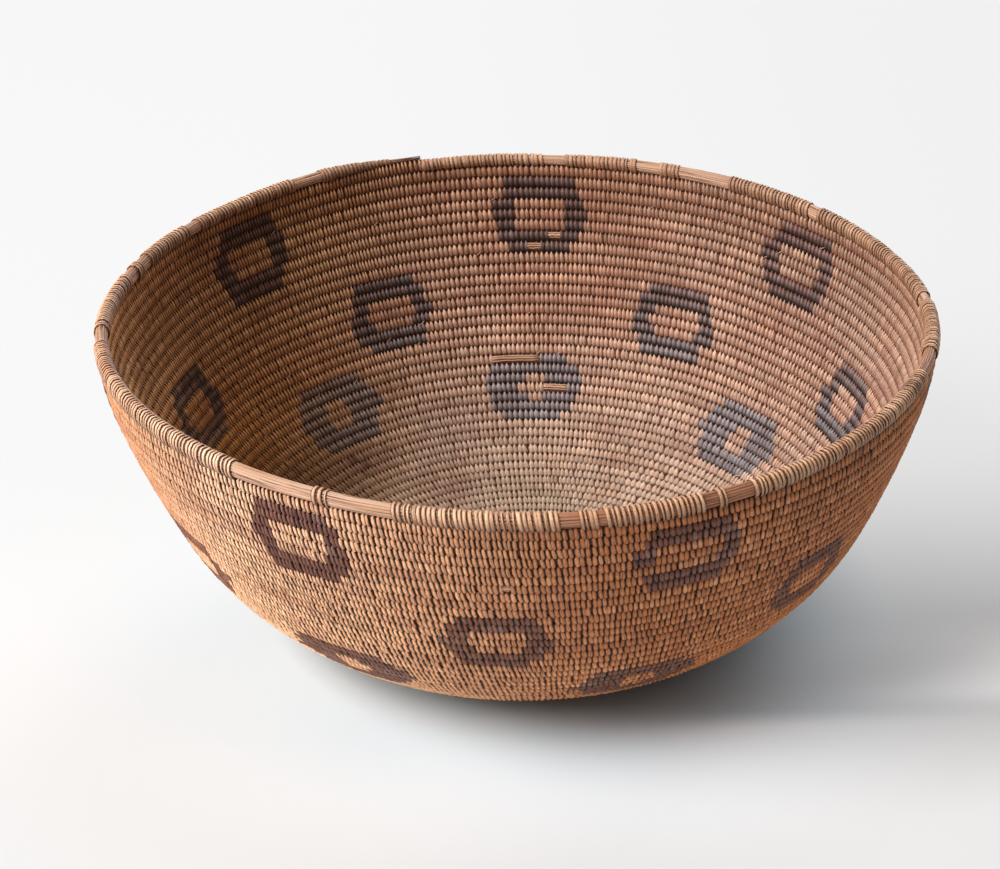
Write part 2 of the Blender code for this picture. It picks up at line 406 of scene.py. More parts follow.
def splintFinish(name, tints):
    # Colour by place on the wall and by face, with painted light and shade at the left and the right, redder
    # or paler from splint to splint, streaked with lengthwise fibres, with painted shade at the edges, deeper
    # towards the holes and low on the inside left, nearly black in the holes, and dirty where stained
    finish = Finish(name, Specular_IOR_Level=0.4)
    across, along, seed = finish.attribute("strand")
    reach, outside, shadeAndWear = finish.attribute("place")
    tone, redness, stain = finish.attribute("dye")
    x, edge, inside = finish.across(0), abs(across), 1 - outside
    inner, outer = (finish.colours(reach, [(place, colour(*tint)) for place, tint in tints[face]])
                    for face in ("inside", "outside"))
    base = finish.mix(outside, inner, outer)
    # Painted light and shade on the left side, inside and out: the mask for its tints here and for its
    # lighter crowns and darker edges below
    left = x.ramp(-0.15, -0.03, 1, 0) * inside
    left = left + x.ramp(-0.13, 0.06, 1, 0) * x.ramp(-0.19, -0.13, 0.35, 1) * outside
    low, high, outer = ((*tint, 1) for tint in tints["left"])
    tint = finish.mix(outside, finish.mix(reach.ramp(0.60, 0.85), low, high), outer)
    base = finish.tinted(left, base, tint)
    # Painted shade on the right side inside near the rim: a cooler, less red tint
    base = finish.tinted(x.ramp(0.03, 0.12) * reach.ramp(0.65, 0.85) * inside, base, tints["right"])
    blotch = finish.noise(finish.place(), 26, 3, 0.6)
    fine = finish.noise(finish.place(), 1200, 2, 0.6)
    base = finish.mix(redness * 0.25 + blotch.ramp(0.48, 0.72, 0, 0.25), base, colour(*tints["red"]))
    base = finish.mix(tone.ramp(0.55, 1.0, 0, 0.25), base, colour(*tints["straw"]))
    fibre = finish.grain((across, along), (3.2, 0.35), seed, (57, 31), 3, 0.6)
    streak = finish.grain((across, along), (9, 0.12), seed, (23, 11), 1, 0.5)
    split = finish.noise(finish.vector(seed * 211, 0, 0), detail=0).ramp(0.62, 0.64) * outside
    split = split * abs(across + (seed - 0.5) * 0.4).ramp(0.06, 0.16, 1, 0)
    # Painted shade on the right side: it is darkened below, and its edges darker still
    right = x.ramp(0.08, 0.17)
    shade = 0.80 + outside * 0.12 + tone * (0.60 - outside * 0.16) + (fibre - 0.5) * 0.95 + (fine - 0.5) * 1.5
    # Painted shade at the edges of each splint, between its neighbours, and more so on the outer face
    shade = shade * (1 - outside * edge.ramp(0.6, 0.92) * 0.75) * (1 - edge ** 3 * 0.6)
    shade = shade * (1 - right * 0.16) * streak.ramp(0.30, 0.42, 0.68, 1.0) * (1 - split * 0.7)
    # Painted light and shade on the left and right sides: crowns lighter and edges darker
    shade = shade * (1 + (left + right * 0.7) * (0.34 - edge.ramp(0.2, 0.8) * 1.05))
    # Painted shadow low on the inside of the left wall
    shade = shade * (1 - x.ramp(-0.092, -0.058, 1, 0) * reach.ramp(0.46, 0.66, 0.45, 0) * inside)
    base = finish.scaled(base, shade)
    # Painted shade: the deep tint towards the holes and where the splint tucks under, less near the floor
    inner, outer = tints["depth"]
    depth = shadeAndWear * (outside * (outer - inner) + inner) * reach.ramp(0.25, 0.75, 0.62, 1)
    base = finish.mix(depth, base, colour(*tints["deep"]))
    # Painted shade in the holes, nearly black, and dirt where stained
    base = finish.mix(shadeAndWear.ramp(0.8, 1.0) * 0.8 + stain * 0.7, base, colour(*tints["dirtAndHoleShade"]))
    rough = fibre.ramp(0.3, 0.7, *tints["roughness"])
    bump = fibre * 0.7 + streak * 0.3 - split * 0.8
    return finish.finish(base, rough, bump, 0.00018, 0.6)


def stemFinish(name, pale, deep, gap, front=None):
    # Fine stems lying side by side: pale ridges, deeper tints from stem to stem and dark lines between them,
    # painted shade in the creases; redder in front on the right where a tint is given for that; and darker by
    # the place's third number, painted shade where the rounds meet and weathering at the rim's tip
    finish = Finish(name, Specular_IOR_Level=0.35)
    *place, seed = finish.attribute("strand")
    shadeAndWear = finish.attribute("place")[2]
    stem = finish.grain(place, (1.0, 0.012), seed, (40, 9), 2, 0.5)
    line = finish.grain(place, (2.2, 0.03), seed, (17, 5), 2, 0.55)
    fleck = finish.grain(place, (6, 0.5), seed, (3, 1), 3, 0.6)
    base = finish.mix(stem.ramp(0.35, 0.65), colour(*pale), colour(*deep))
    if front:
        reddish = finish.across(0).ramp(-0.03, 0.03) * finish.across(1).ramp(-0.10, 0.0, 1, 0)
        base = finish.mix(reddish * 0.8, base, colour(*front))
    base = finish.mix(line.ramp(0.36, 0.46, 0.8, 0), base, colour(*gap))
    base = finish.scaled(base, 0.92 + (fleck - 0.5) * 0.5)
    base = finish.mix(shadeAndWear * 0.9, base, colour(*gap))
    return finish.finish(base, stem.ramp(0.3, 0.7, 0.5, 0.7), line * 0.8 + fleck * 0.2, 0.0003, 0.7)


def makePiece(name, points, faceSets, material, nodes, attributes, crisp=None):
    # One object from points, lists of faces and attributes by vertex, riding on the basket. Edges stay crisp
    # between vertices that are both marked with the same number above 0
    mesh = bpy.data.meshes.new(name)
    points = points.reshape(-1, 3)
    corners = np.concatenate([faces.ravel() for faces in faceSets])
    sizes = np.concatenate([np.full(len(faces), faces.shape[1]) for faces in faceSets])
    mesh.vertices.add(len(points))
    mesh.vertices.foreach_set("co", np.ascontiguousarray(points, dtype=np.float32).ravel())
    mesh.loops.add(len(corners))
    mesh.loops.foreach_set("vertex_index", corners.astype(np.int32))
    mesh.polygons.add(len(sizes))
    mesh.polygons.foreach_set("loop_start", (np.cumsum(sizes) - sizes).astype(np.int32))
    mesh.update(calc_edges=True)
    mesh.validate()
    for label, values in attributes.items():
        layer = mesh.attributes.new(label, "FLOAT_VECTOR", "POINT")
        layer.data.foreach_set("vector", np.ascontiguousarray(values, dtype=np.float32).ravel())
    mesh.shade_smooth()
    if crisp is not None:
        ends = np.zeros(2 * len(mesh.edges), dtype=np.int32)
        mesh.edges.foreach_get("vertices", ends)
        first, second = crisp[ends.reshape(-1, 2)].T
        sharp = mesh.attributes.new("sharp_edge", "BOOLEAN", "EDGE")
        sharp.data.foreach_set("value", (first > 0) & (first == second))
    mesh.materials.append(material)
    piece = linked(name, mesh)
    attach(piece, "root")
    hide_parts(*nodes)


def circle(count):
    # Even bearings all the way round
    return 2 * math.pi * np.arange(count) / count


def ringFaces(rows, columns, closeRows=True, copies=1):
    # Quads of a grid of rows and columns of points; the columns close on themselves, and so do a loop's rows
    row, column = np.meshgrid(np.arange(rows if closeRows else rows - 1), np.arange(columns), indexing="ij")
    nextRow, nextColumn = (row + 1) % rows, (column + 1) % columns
    quads = np.stack([row * columns + column, row * columns + nextColumn,
                      nextRow * columns + nextColumn, nextRow * columns + column], axis=-1).reshape(-1, 4)
    return (quads[None] + np.arange(copies)[:, None, None] * rows * columns).reshape(-1, 4)


stitching = {  # the splints sewn round the coil
    "pitch": 0.0025,
    "drift": 0.07,  # how far each stitch moves on from the one beneath, in stitches
    "fill": 0.97,  # share of its room that a stitch fills
    "seed": 11,
    # path of a stitch from its inner hole over the top to its outer hole: up the coil in pitches, out in
    # metres, back along the coil in stitches, width as a share, its crown in metres, and how much painted
    # shade it takes, towards its holes and where it tucks under
    "path": (
        (-0.72, -0.0008, -0.30, 0.70, 0.0002, 1.0), (-0.48, -0.0016, -0.22, 1.14, 0.00042, 0.95),
        (-0.17, -0.00222, -0.10, 1.10, 0.00058, 0.62), (0.20, -0.00222, 0.02, 0.94, 0.00060, 0.18),
        (0.51, -0.0018, 0.08, 0.34, 0.00038, 0.0), (0.50, 0.0012, 0.0, 0.46, 0.0002, 1.0),
        (0.40, 0.0022, 0.02, 0.82, 0.00036, 0.40), (-0.02, 0.00252, 0.15, 1.0, 0.00044, 0.0),
        (-0.48, 0.0022, 0.33, 1.0, 0.00038, 0.32), (-0.62, 0.0010, 0.42, 0.82, 0.0001, 1.0)),
    "back": 0.0008,  # how far a splint's back lies beneath that path
    "flatter": 0.24,  # how much less they stand out beneath the floor
    "flatReach": 0.085,  # how far along the wall that goes, and the length over which it fades
    "flatFade": 0.02,
    "sunk": 0.45,  # share of the height left where they are worn through
    "easing": 25,  # rounds of easing neighbours apart
    # how much single stitches differ
    "tone": 0.13, "width": 0.08, "shift": 0.07, "bulge": 0.025, "lean": 0.25, "crown": 0.12,
}

random = np.random.default_rng(stitching["seed"])


def roundCount(turn):
    # Stitches in a round of that radius, a pitch apart
    return int(round(2 * math.pi * profileRadius(coilArc(turn)) / stitching["pitch"]))


def placeStitches():
    # Turns at which the coil is stitched: each round repeats the one beneath, moved on by a small drift, and
    # new stitches are let in as the rounds grow, with their neighbours eased apart
    count = roundCount(form["firstTurn"] + 0.5)
    places = form["firstTurn"] + np.arange(count) / count
    rounds = []
    while places[0] < lastTurn - 1:
        rounds.append(places)
        extra = max(roundCount(places[0] + 1.5) - count, 0)
        fresh = places + 1 + stitching["drift"] / count
        if extra:
            chosen = ((np.arange(extra) + random.random(extra) * 0.8) / extra * count).astype(int)
            fresh = np.sort(np.concatenate([fresh, fresh[chosen] + 0.5 / count]))
            count += extra
        for _ in range(stitching["easing"]):
            padded = np.concatenate([[places[-1]], fresh, [fresh[0] + 1]])
            fresh = fresh + 0.5 * ((padded[:-2] + padded[2:]) / 2 - fresh)
        places = fresh
    turns = np.concatenate(rounds)
    return turns[turns < lastTurn - 1.0]


stitchTurns = placeStitches()
stitchArcs = rowArc(stitchTurns)
stitchAngles = turnAngle(stitchTurns)
stitchRadii = profileRadius(stitchArcs)
stitchRows = np.floor(lastTurn - stitchTurns).astype(int)  # rows beneath the rim
stitchDegrees = np.degrees(stitchAngles) % 360
stitchCount = len(stitchTurns)
stitchRoom = np.gradient(stitchTurns) * 2 * math.pi * stitchRadii
print("stitches placed:", stitchCount)

# Dark hollow rings with six sides, in three tiers: their middles in degrees, the row beneath the rim where
# each begins, and in mm the widths of their rows and of the hollow in them
rings = {
    "upper": {
        "middles": (40.5, 86.4, 137.7, 190.5, 238.2, 289.0, 345.0), "rows": (2, 2, 2, 2, 2, 2, 2),
        "widths": (37.4, 42.0, 48.0, 51.0, 46.7, 41.0, 35.3), "hollows": (0, 0, 28.5, 28.5, 27.0, 0, 0)},
    "middle": {
        "middles": (18.0, 61.4, 113.8, 163.0, 208.3, 264.3, 314.7), "rows": (11, 11, 11, 11, 12, 11, 11),
        "widths": (35.9, 40.6, 43.4, 49.2, 46.3, 40.9, 32.3), "hollows": (0, 0, 23.7, 26.9, 21.9, 0, 0)},
    "lower": {
        "middles": (39.6, 87.7, 130.7, 182.0, 237.0, 286.8, 340.0), "rows": (20, 19, 19, 19, 19, 20, 19),
        "widths": (40.6, 45.8, 49.7, 53.5, 46.3, 40.6, 34.4), "hollows": (0, 0, 11.9, 14.8, 11.0, 0, 0)},
}
wider = {237.0: 1.18, 286.8: 1.08, 163.0: 0.94}  # rings wider or narrower than their tier, by their middles
opened = ((6, 282.0, 285.6),)  # gaps in the rings: row beneath the rim, from and to in degrees
raggedEdge = 0.8  # mm by which the edges of a ring's rows differ


def besides(middle):
    # How far round the coil each stitch lies from a bearing, in metres
    return np.radians((stitchDegrees - middle + 180) % 360 - 180) * stitchRadii


def between(row, low, high):
    # The stitches of one row from one bearing to another
    return (stitchRows == row) & (stitchDegrees >= low) & (stitchDegrees <= high)


def ringTiers():
    # For each stitch the tier of its ring, or -1: it lies within the row's width and outside its hollow
    tiers = np.full(stitchCount, -1)
    for tier, ring in enumerate(rings.values()):
        height = len(ring["widths"])
        for middle, firstRow in zip(ring["middles"], ring["rows"]):
            level = stitchRows - firstRow
            inside = (level >= 0) & (level < height)
            level = np.clip(level, 0, height - 1)
            edges = random.normal(0, raggedEdge, (4, height))[:, level]
            away = 1000 * besides(middle)
            half = np.array(ring["widths"])[level] / 2 * wider.get(middle, 1.0)
            hollow = np.array(ring["hollows"])[level] / 2
            within = (away > -half + edges[0]) & (away < half + edges[1])
            empty = (hollow > 0) & (away > -hollow + edges[2]) & (away < hollow + edges[3])
            tiers[inside & within & ~empty] = tier
    for gap in opened:
        tiers[between(*gap)] = -1
    return tiers


stitchTier = ringTiers()
print("dark stitches:", int((stitchTier >= 0).sum()))

worn = (  # splints worn through on one face: row beneath the rim, from and to in degrees, and the face
    (8, 86.0, 88.3, -1), (7, 83.0, 84.5, -1), (19, 87.0, 95.3, -1), (22, 81.0, 85.2, -1),
    (7, 265.9, 266.5, 1),
)
stitchWorn = np.zeros(stitchCount)
for *place, face in worn:
    stitchWorn[between(*place)] = face


def splintRuns(count, shortest=7, longest=22):
    # Numbers shared by the stitches of one splint, a run at a time
    lengths = random.integers(shortest, longest, count)
    values = random.random(count)
    return np.repeat(values, lengths)[:count]


stains = {  # spots on the coil: metres along the wall, bearing in degrees, size in metres, and strength
    "dark": (
        (0.0990, 87.2, 0.0022, 1), (0.0903, 77.2, 0.0016, 1), (0.0888, 70.2, 0.0016, 1),
        (0.1620, 118.5, 0.0020, 1), (0.1610, 115.5, 0.0020, 1), (0.1420, 133.0, 0.0020, 1),
        (0.1360, 131.0, 0.0022, 1), (0.2850, 266.0, 0.0160, 0.3), (0.2830, 275.0, 0.0130, 0.25)),
    "red": (
        (0.2150, 98.0, 0.0060, 1), (0.1200, 82.0, 0.0050, 1), (0.2400, 52.0, 0.0060, 1),
        (0.1000, 250.0, 0.0060, 1)),
}


def spots(marks):
    # How strongly each stitch is stained: a bell round the middle of each spot
    depth = np.zeros(stitchCount)
    for arc, degrees, size, strength in marks:
        away = np.hypot(stitchArcs - arc, besides(degrees)) / size
        depth = np.maximum(depth, strength * np.exp(-away ** 2))
    return depth


stitchTone = 0.5 + (splintRuns(stitchCount) - 0.5) * 0.5 + random.normal(0, stitching["tone"], stitchCount)
stitchRed = np.maximum(splintRuns(stitchCount) ** 2, spots(stains["red"]))
stitchDye = np.stack([np.clip(stitchTone, 0, 1), stitchRed, spots(stains["dark"])], axis=-1)
stitchSeed = random.random(stitchCount)
stitchWidth = stitchRoom * stitching["fill"] * random.normal(1, stitching["width"], stitchCount)
stitchShift = random.normal(0, stitching["shift"], stitchCount)
stitchBulge = random.normal(1, stitching["bulge"], (stitchCount, 2))
stitchLean = random.normal(0, stitching["lean"], (stitchCount, 2))
stitchCrown = random.normal(0, stitching["crown"], (stitchCount, 2))


def bandPoints(middle, up, out, along, path, width, crown, back, crownLean):
    # A strip carried round a closed path: at each point of the path its section has two edges, a crown
    # above and between them and a back; path and section are in the directions up, out and along
    ahead = unit(np.roll(path, -1, axis=1) - np.roll(path, 1, axis=1))
    side = np.zeros_like(path)
    side[..., 2] = 1
    side = unit(side - ahead * (ahead * side).sum(-1, keepdims=True))
    outward = np.cross(ahead, side)
    half = width[..., None] / 2
    rise = outward * np.broadcast_to(crown, path.shape[:2])[..., None]
    left = path - side * half - rise
    right = path + side * half - rise
    top = path + rise + side * half * crownLean[..., None]
    under = path - outward * back
    local = np.stack([left, top, right, under], axis=2)
    axes = np.stack([up, out, along], axis=1)
    return middle[:, None, None] + np.einsum("njkc,ncx->njkx", local, axes)


def stitchPoints(chosen):
    # The path of a stitch, carried to the place of each chosen one and altered by its own amounts; it lies
    # flatter beneath the floor and deeper where it is worn
    arc, angle = stitchArcs[chosen], stitchAngles[chosen]
    middle, up, out, along = wallAxes(arc, angle)
    pitch = rowPitch(stitchTurns[chosen])
    rise, outward, trail, width, crown, _ = np.array(stitching["path"]).T
    outer = (outward > 0).astype(int)
    size = (len(chosen), len(rise))
    bulge = np.broadcast_to(stitchBulge[chosen][:, outer], size)
    lean = stitchLean[chosen][:, outer]
    sunk = np.where(stitchWorn[chosen][:, None] * outward > 0, stitching["sunk"], 1.0)
    flat = smooth((stitching["flatReach"] - arc) / stitching["flatFade"])
    flat = 1 - stitching["flatter"] * flat[:, None] * outer
    path = np.stack([
        pitch[:, None] * rise,
        outward * bulge * sunk * flat,
        (trail + stitchShift[chosen][:, None] + lean * trail) * stitchRoom[chosen][:, None]], axis=-1)
    widths = stitchWidth[chosen][:, None] * width
    return bandPoints(middle, up, out, along, path, widths, crown, stitching["back"],
                      stitchCrown[chosen][:, outer])


def triples(size, *numbers):
    # Three numbers for each vertex of a grid, each of them spread over the whole grid
    return np.stack([np.broadcast_to(number, size) for number in numbers], axis=-1).reshape(-1, 3)


def lengthAlong(points):
    # Length from the first point of each line to every point of it, in millimetres
    steps = np.linalg.norm(np.diff(points, axis=-2), axis=-1)
    return 1000 * np.concatenate([np.zeros_like(steps[..., :1]), np.cumsum(steps, axis=-1)], axis=-1)


def makeBands(name, points, material, nodes, reach, seed, dye, outside, shadeAndWear, marks=None):
    # Strand: place across and along the splint in mm, and a number of its own. Place: share of the way to the
    # rim, outer face, and how much painted shade it takes towards the holes
    size = points.shape[:3]
    along = lengthAlong(points[:, :, 1])[..., None]
    makePiece(name, points, [ringFaces(size[1], size[2], True, size[0])], material, nodes, {
        "strand": triples(size, (-1, 0, 1, 0), along, seed[:, None, None]),
        "place": triples(size, reach[:, None, None], outside[:, None], shadeAndWear[:, None]),
        "dye": triples(size, *dye.T[..., None, None]),
    }, None if marks is None else np.broadcast_to(marks, size).ravel())


def makeStitches(name, chosen, material, nodes):
    path = np.array(stitching["path"])
    marks = np.where(path[:, 1:2] > 0, (1, 0, 2, 0), (3, 0, 4, 0))
    makeBands(name, stitchPoints(chosen), material, nodes, stitchArcs[chosen] / profileReach,
              stitchSeed[chosen], stitchDye[chosen], path[:, 1] > 0, path[:, 5], marks)


stretches = (  # each stretch of the coil: its node, its slot, and how many pieces its stitches make
    ("centre", "centre_coil", "floor_splints", 1),
    ("floor", "floor_coil", "floor_splints", 1),
    ("lowerWall", "lower_wall_coil", "lower_wall_splints", 2),
    ("middleWall", "middle_wall_coil", "middle_wall_splints", 2),
    ("upperWall", "upper_wall_coil", "upper_wall_splints", 2),
)
lightFinish = splintFinish("lightSplints", lightSplint)
darkFinish = splintFinish("darkSplints", darkSplint)
rimFinish = splintFinish("rimSplints", rimSplint)
stretchEnds = np.concatenate([[form["firstTurn"]], arcTurn(np.array(form["splices"])), [lastTurn - 1]])

for (name, node, slot, parts), start, end in zip(stretches, stretchEnds, stretchEnds[1:]):
    bounds = np.linspace(start, end, parts + 1)
    for part, (low, high) in enumerate(zip(bounds, bounds[1:])):
        suffix = ("Low", "High")[part] if parts == 2 else ""
        chosen = np.flatnonzero((stitchTier < 0) & (stitchTurns >= low - 1e-9) & (stitchTurns < high))
        makeStitches(name + "Splints" + suffix, chosen, lightFinish, [node])
        print("light stitches:", name + suffix, len(chosen))

for tier, name in enumerate(rings):
    chosen = np.flatnonzero(stitchTier == tier)
    makeStitches(name + "RingSplints", chosen, darkFinish, [name + "_wall_coil"])
    print("dark stitches:", name, len(chosen))


def tubes(middle, up, out, upward, outward, radius, sides):
    # Round tubes side by side: each follows the middles, moved up and out by its own amounts; points by
    # tube, ring and side
    bearing = circle(sides)
    rise = upward[..., None] + radius[..., None] * np.cos(bearing)
    away = outward[..., None] + radius[..., None] * np.sin(bearing)
    return middle[..., None, :] + up[..., None, :] * rise[..., None] + out[..., None, :] * away[..., None]


def tubeFaces(count, rings, sides):
    # The sides of the tubes and a cap at each of their ends
    first = np.arange(count)[:, None] * rings * sides + np.arange(sides)
    caps = np.concatenate([first, (first + (rings - 1) * sides)[:, ::-1]])
    return [ringFaces(rings, sides, False, count)[:, ::-1], caps]


def makeTubes(name, points, material, nodes, dark=0.0):
    # Strand: place across and along a stem in mm, and a number of its own. Place: how dark it has gone
    size = points.shape[:3]
    across = 0.8 * np.cos(circle(size[2]))
    along = lengthAlong(points[:, :, 0])[..., None]
    makePiece(name, points, tubeFaces(*size), material, nodes, {
        "strand": triples(size, across, along, random.random(size[0])[:, None, None]),
        "place": triples(size, 1, 0, dark)})


stems = {  # the bundle of stems inside the stitches
    "section": ((0.53, 0.0006), (0.28, 0.0014), (0.0, 0.0016), (-0.28, 0.0014), (-0.53, 0.0006)),
    "across": (0, 2.4, 4.4, 6.4, 8.8, 20, 22.4, 24.4, 26.4, 28.8),  # mm round it, for the lines of the stems
    "steps": 72,  # sections in a turn
    "gap": 0.002,  # turns between one stretch and the next
    "seed": 0.37,
}
# The stems inside the coil show only in the gaps between stitches: their dark colours are painted shade in
# those gaps
coilStemsPaintedShade = stemFinish("coilStemsPaintedShade", (112, 58, 30), (88, 44, 22), (52, 25, 12))


def makeStems(name, start, end, node):
    # A rounded section carried along the coil from one splice to the next, and capped at both ends
    count = int((end - start) * stems["steps"]) + 2
    turns = np.linspace(start, end, count)
    rise, outward = np.array(stems["section"]).T
    rise = np.concatenate([rise, rise[::-1]])
    outward = np.concatenate([outward, -outward[::-1]])
    arc = rowArc(turns)[:, None] + rowPitch(turns)[:, None] * rise
    points = wallPoint(arc, turnAngle(turns)[:, None], outward)
    size = points.shape[:2]
    steps = 2 * math.pi * profileRadius(coilArc(turns[1:])) * np.diff(turns)
    length = 1000 * np.concatenate([[0], np.cumsum(steps)])
    # The third number of the place darkens the stems where the rounds meet: partly dust, partly painted shade
    makePiece(name, points, [faces[:, ::-1] for faces in tubeFaces(1, *size)], coilStemsPaintedShade, [node], {
        "strand": triples(size, stems["across"], length[:, None], stems["seed"]),
        "place": triples(size, arc / profileReach, outward > 0, np.abs(rise) > 0.4)})


for (name, node, slot, _), start, end in zip(stretches, stretchEnds, stretchEnds[1:]):
    makeStems(name + "Stems", start, end - stems["gap"], node)
print("stems inside the coil made")

bareFinish = stemFinish("bareStems", (221, 180, 152), (200, 152, 118), (92, 54, 36), (172, 108, 74))
wornFinish = stemFinish("wornStems", (226, 184, 150), (200, 152, 118), (110, 72, 50))
bare = {  # stems that show in a worn place
    "levels": (-0.16, 0.06, 0.26),  # in pitches, up from the middle of the coil
    "radius": (0.00034, 0.00062, 0.00046),
    "depth": (0.0018, 0.004),  # how far out they lie, and how much less for the square of their level
    "past": 0.4,  # degrees by which they reach past the worn place
    "wanderUp": 0.00008,  # how unevenly they run
    "wanderOut": 0.00006,
    "sides": 6,
    "rings": 8,
}


def makeBareStems(name, face, nodes, rows):
    # A few tubes side by side along each worn place of one face
    points = []
    for row, low, high, side in worn:
        if side != face or row not in rows:
            continue
        degrees = np.linspace(low - bare["past"], high + bare["past"], bare["rings"])
        turns = lastTurn - row - ((degrees - form["tipAngle"]) / 360) % 1
        middle, up, out, _ = wallAxes(rowArc(turns), np.radians(degrees))
        levels = np.array(bare["levels"])[:, None]
        shape = (len(levels), bare["rings"])
        upward = levels * form["topPitch"] + random.normal(0, bare["wanderUp"], shape)
        outward = side * (bare["depth"][0] - levels ** 2 * bare["depth"][1])
        outward = outward + random.normal(0, bare["wanderOut"], shape)
        radius = np.broadcast_to(np.array(bare["radius"])[:, None], shape)
        points.append(tubes(middle[None], up[None], out[None], upward, outward, radius, bare["sides"]))
    makeTubes(name, np.concatenate(points), wornFinish, nodes)


makeBareStems("upperBareStems", -1, ["upper_wall_coil"], (7, 8))
makeBareStems("lowerBareStems", -1, ["lower_wall_coil"], (19, 22))
makeBareStems("outerBareStems", 1, ["upper_wall_coil"], (7,))
print("worn places made")

ends = {  # tips of splints tucked in at the joints between rounds
    "share": 0.011,  # of the stitches have one beside them
    "radius": 0.00034,
    "taper": (0.6, 1.0, 1.0, 0.5),  # shares of the radius along the tip
    "uneven": 0.15,  # how much single tips differ
    "line": (
        (-0.66, -0.0014, 0.9), (-0.52, -0.00226, 0.55), (-0.38, -0.00246, 0.15), (-0.28, -0.0018, -0.25)),
    "sides": 5,
}


def makeSplintEnds():
    # Short slanting tubes beside a few of the stitches: up in pitches, out in metres, along in stitches
    chosen = np.flatnonzero((random.random(stitchCount) < ends["share"]) & (stitchArcs > floorReach))
    middle, up, out, along = wallAxes(stitchArcs[chosen], stitchAngles[chosen])
    pitch = rowPitch(stitchTurns[chosen])
    rise, outward, trail = np.array(ends["line"]).T
    shift = (trail + random.normal(0, ends["uneven"], (len(chosen), 1))) * stitchRoom[chosen][:, None]
    line = middle[:, None] + along[:, None] * shift[..., None]
    radius = ends["radius"] * random.normal(1, ends["uneven"], (len(chosen), 1)) * np.array(ends["taper"])
    outward = np.broadcast_to(outward, radius.shape)
    points = tubes(line, up[:, None], out[:, None], pitch[:, None] * rise, outward, radius, ends["sides"])
    makeTubes("splintEnds", points, bareFinish,
              ["lower_wall_coil", "middle_wall_coil", "upper_wall_coil"])


makeSplintEnds()
print("splint ends made")

knot = {  # the small disc where the coil begins
    "loops": 12,
    "inner": 0.0007,  # radius at which its splints begin
    "past": 0.0002,  # how far they reach past its edge
    "least": 0.0004,  # width of a splint in the middle, and its width further out
    "width": 0.0021,
    # from the middle over the top to the edge and back beneath: the share of the way, and how far down
    "spread": (0.0, 0.25, 0.55, 0.85, 1.0, 1.0, 0.85, 0.55, 0.25, 0.0),
    "depth": (-0.0012, -0.0023, -0.0026, -0.0023, -0.0010, 0.0010, 0.0019, 0.0021, 0.0019, 0.0012),
    "crown": 0.0002,
    "back": 0.0005,
}


def makeKnot():
    # Splints laid like spokes: each goes from the middle over the top to the edge and back beneath
    loops = knot["loops"]
    angles = 2 * math.pi * (np.arange(loops) + 0.3) / loops
    first = form["firstTurn"]
    turns = first + ((math.radians(form["tipAngle"]) - angles) / (2 * math.pi) + lastTurn - first) % 1
    edge = coilArc(turns - 0.5) + knot["past"]
    across, along = form["knotPlace"]
    middle = np.broadcast_to(np.array([across, along, form["wallThickness"] / 2]), (loops, 3))
    up = np.stack([np.cos(angles), np.sin(angles), 0 * angles], axis=-1)
    out = np.broadcast_to(np.array([0.0, 0.0, -1.0]), up.shape)
    spread, depth = np.array(knot["spread"]), np.array(knot["depth"])
    size = (loops, len(spread))
    reach = knot["inner"] + (edge[:, None] - knot["inner"]) * spread
    path = np.stack([reach, np.broadcast_to(depth, size), np.zeros(size)], axis=-1)
    widths = np.clip(reach * 2 * math.pi / loops, knot["least"], knot["width"])
    points = bandPoints(middle, up, out, np.cross(up, out), path, widths, knot["crown"], knot["back"],
                        np.zeros((loops, 1)))
    dye = np.stack([np.full(loops, 0.5), random.random(loops) * 0.5, np.full(loops, 0.15)], axis=-1)
    # The last number darkens the splints towards the middle, painted shade as at a stitch's holes
    makeBands("startKnot", points, lightFinish, ["start_knot"], edge / profileReach,
              random.random(loops), dye, depth > 0, smooth(1 - spread * 3) * 0.8)


makeKnot()
print("start knot made")


def rimSize(turn):
    # Width and height of the rim's bundle, and its middle along the wall: it sags onto the round beneath,
    # wherever that lies, its upper edge rises by its table, and it slims at its start and, more, at its tip
    step = rim["taper"] / 360
    begun = smooth((turn - (lastTurn - 1)) / step)
    left = smooth((lastTurn - turn) / step)
    width = rim["tipWidth"] + (rim["width"] - rim["tipWidth"]) * left
    height = rim["tipHeight"] + (rim["height"] - rim["tipHeight"]) * left
    height = height - (rim["height"] - rim["startHeight"]) * (1 - begun)
    rise = 0.001 * np.interp((turn - (lastTurn - 1)) * 360, *np.array(rim["rise"]).T)
    high = coilArc(turn - 0.5) + rimDrop + height + rise - rim["lower"] * np.minimum(begun, left)
    low = rowArc(turn - 1) + rowPitch(turn - 1) / 2 + rimDrop - rim["sag"]
    low = np.minimum(low - rim["deeper"] * (1 - np.sin(turnAngle(turn))), high - rim["tipHeight"])
    return width, high - low, (high + low) / 2


rimStems = {  # thin stems side by side round the rim's bundle
    "stems": 15,
    "radius": 0.00074,
    "wander": 0.10,  # radians by which each wanders round the bundle
    "twist": 0.8,  # radians by which they all turn round it in one turn
    "swell": 0.08,  # share by which each grows thicker and thinner
    "ragged": 3.0,  # degrees over which they end at the tip
    "dark": 0.7,  # how far they are weathered at the tip, and over how many degrees
    "darkReach": 8.0,
    "steps": 420,
    "sides": 6,
    "fillingSides": 12,
}


